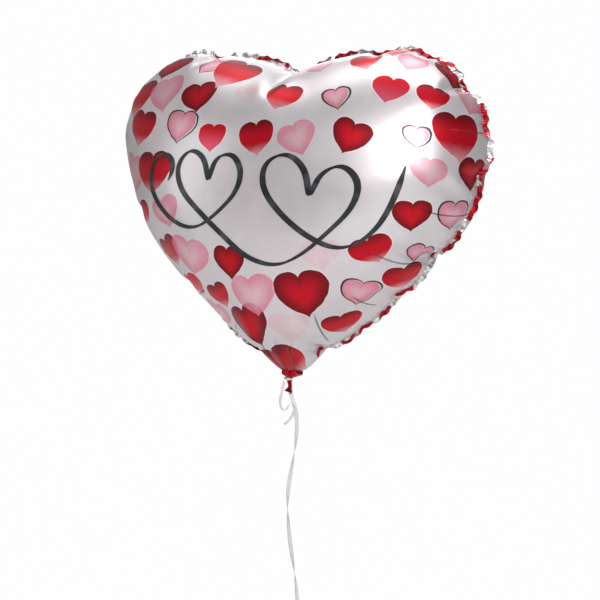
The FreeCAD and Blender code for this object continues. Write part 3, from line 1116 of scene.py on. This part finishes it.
def foil_tail():
    """Crumpled end of the neck below the tie, twisted and forked."""
    rings = []
    angles = np.linspace(0, 2 * math.pi, 40, endpoint=False)
    for i, t in enumerate(np.linspace(0, 1, 22)):
        z = -0.0026 - 0.0102 * t
        wide = 0.0021 + 0.0013 * smoothstep(t, 0.45, 1.0) - 0.0005 * math.sin(t * math.pi)
        deep = 0.0019 * (1 - 0.72 * smoothstep(t, 0.2, 1.0))
        twist = -0.9 + 1.3 * t
        ring = []
        for a in angles:
            fold = 1 + 0.16 * math.cos(3 * a + 9 * t) + 0.10 * math.cos(7 * a - 14 * t)
            x, y = wide * math.cos(a) * fold, deep * math.sin(a) * fold
            notch = 0.0026 * smoothstep(t, 0.72, 1.0) * (1 - min(1, abs(math.cos(a)) / 0.8))
            notch -= 0.0010 * t * math.cos(a)
            ring.append((
                x * math.cos(twist) - y * math.sin(twist) + 0.0006 * math.sin(4 * t),
                x * math.sin(twist) + y * math.cos(twist),
                z + notch,
            ))
        rings.append(ring)
    tail = skin("neck_tail_foil", rings, red, closed_ends=True)
    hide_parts("neck_tail")
    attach(tail, "tail")


def trefoil(name, middle, size, lobe, tilt, count, width, thick):
    """Overhand knot of folded ribbon. lobe opens its three loops, and tilt leans the ribbon in them."""
    t = np.linspace(0, 2 * math.pi, count)
    line = size * np.stack([
        np.sin(t) + lobe * np.sin(2 * t),
        -0.9 * np.sin(3 * t),
        np.cos(t) - lobe * np.cos(2 * t),
    ], 1)
    across = np.stack([tilt * np.cos(t), np.ones_like(t), tilt * np.sin(t)], 1)
    return ribbon_strip(name, line + np.array(middle), width, across, thick=thick)


def tie_ribbon():
    """Turns of ribbon round the waist, the knot lump and its two short bridges to the strands."""
    t = np.linspace(0, 1, 150)
    around = 2 * math.pi * 3.1 * t + 4.1
    radius = WAIST_RADIUS + 0.00055 + 0.00022 * np.sin(around * 0.5) ** 2
    height = 0.0010 - 0.0020 * t + 0.0003 * np.sin(around)
    turns = np.stack([radius * np.cos(around), radius * np.sin(around), height], 1)
    upright = np.tile((0.1, 0.1, 1.0), (len(t), 1))
    wrap = ribbon_strip("ribbon_turns", turns, 0.0011, upright, thick=0.0002, cup=0.0001)
    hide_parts("ribbon_wrap")
    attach(wrap, "balloon")

    lump = trefoil("ribbon_tie_knot", (-0.0012, 0.0050, -0.0002), 0.00105, 1.6, 0.4, 160, 0.0016, 0.0004)
    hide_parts("ribbon_knot")
    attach(lump, "balloon")

    # From the knot down to the long strand, and round the back of the waist to the curl.
    bridge = smooth_line([
        (-0.0012, 0.0050, -0.0012), (-0.0013, 0.0053, -0.0034), (-0.0014, 0.0054, -0.0064),
    ], 24)
    down = ribbon_strip("ribbon_bridge", bridge, 0.0034, np.tile((0.9, -0.4, 0), (len(bridge), 1)))
    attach(down, "balloon")
    link = smooth_line([
        (-0.0014, 0.0048, 0.0004), (-0.0044, 0.0030, 0.0004), (-0.0048, -0.0020, 0.0000),
        (-0.0034, -0.0052, -0.0014), (-0.0029, -0.0055, -0.0042),
    ], 20)
    side = ribbon_strip("ribbon_link", link, 0.0019, np.tile((0.35, -0.2, 1.0), (len(link), 1)), thick=0.0002)
    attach(side, "balloon")


def hand_knot():
    """Overhand knot that closes the hand loop."""
    knot = trefoil("ribbon_hand_knot", (0.0153, 0.0060, -0.2360), 0.00170, 1.5, 0.5, 180, 0.0026, 0.0005)
    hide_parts("hand_knot")
    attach(knot, "ribbon_lower")
    return knot


gathered_neck()
foil_tail()
tie_ribbon()
loop_knot = hand_knot()

# ---- stage, light and finish ----

FLOOR_Z = -0.36
FLOOR_RADIUS = 12
BACKDROP = (0.99, 0.99, 0.99, 1)


def stage():
    """Pale floor that the camera sees as bright as the studio behind it."""
    material, n = new_material("floor")
    matt = n.add("BsdfDiffuse")
    matt.inputs["Color"].default_value = (0.85, 0.85, 0.85, 1)
    bright = n.add("Emission")
    bright.inputs["Color"].default_value = BACKDROP
    n.put(n.add("OutputMaterial").inputs["Surface"], n.by_ray(matt.outputs[0], bright.outputs[0]))
    turns = np.linspace(0, 2 * math.pi, 64, endpoint=False)
    mesh = bpy.data.meshes.new("floor")
    mesh.from_pydata([(FLOOR_RADIUS * math.cos(a), FLOOR_RADIUS * math.sin(a), FLOOR_Z) for a in turns], [],
                     [tuple(range(64))])
    mesh.materials.append(material)
    floor = bpy.data.objects.new("floor", mesh)
    scene.collection.objects.link(floor)


def area_light(name, place, aim, size, power):
    data = bpy.data.lights.new(name, "AREA")
    data.shape = "RECTANGLE"
    data.size, data.size_y = size
    data.energy = power
    light = bpy.data.objects.new(name, data)
    light.location = place
    light.rotation_euler = (Vector(aim) - Vector(place)).to_track_quat("-Z", "Y").to_euler()
    scene.collection.objects.link(light)


def make_world():
    """White studio to the camera. The balloon reflects a dim floor, a paler ceiling and dark screens."""
    world = bpy.data.worlds.new("studio")
    scene.world = world
    world.use_nodes = True
    n = Nodes(world.node_tree)
    seen = n.add("Background")
    seen.inputs["Color"].default_value = BACKDROP
    direction = n.add("TexCoord").outputs["Generated"]
    height = n.fade(n.apart(direction)[2], -0.75, 0.25)
    rising = n.blend(height, (0.30, 0.29, 0.30, 1), (0.62, 0.62, 0.63, 1))
    screens = n.fade(n.noise(direction, 2.4, 1.0), 0.38, 0.62, 0.25, 0.0)
    lit = n.add("Background")
    n.put(lit.inputs["Color"], n.blend(screens, rising, (0.20, 0.20, 0.21, 1)))
    lit.inputs["Strength"].default_value = 0.68
    out = n.add("OutputWorld")
    n.put(out.inputs["Surface"], n.by_ray(lit.outputs[0], seen.outputs[0]))


# name, place, aim, size, power
LIGHTS = [
    ("key", (1.15, -1.9, 1.0), (0, 0, 0.18), (0.70, 0.60), 45),
    ("strip", (-1.9, -1.5, 0.5), (0, 0, 0.15), (0.20, 1.6), 6),
    ("top", (0.0, 0.1, 2.0), (0, 0, 0.2), (1.8, 1.4), 22),
    ("rear", (-0.7, 2.0, 1.5), (0, 0, 0.18), (1.4, 1.0), 12),
]

stage()
make_world()
for light in LIGHTS:
    area_light(*light)
scene.view_settings.view_transform = "Standard"

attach(loop, "ribbon_lower")
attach(curl, "curl")
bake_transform(strand)
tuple(STRAND[0])
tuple(HAND_LOOP[0])
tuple(CURL[0])
for name in ("valve_film_front", "valve_film_back"):
    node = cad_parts[name]
    node.data.materials.clear()
    node.data.materials.append(valve_look)
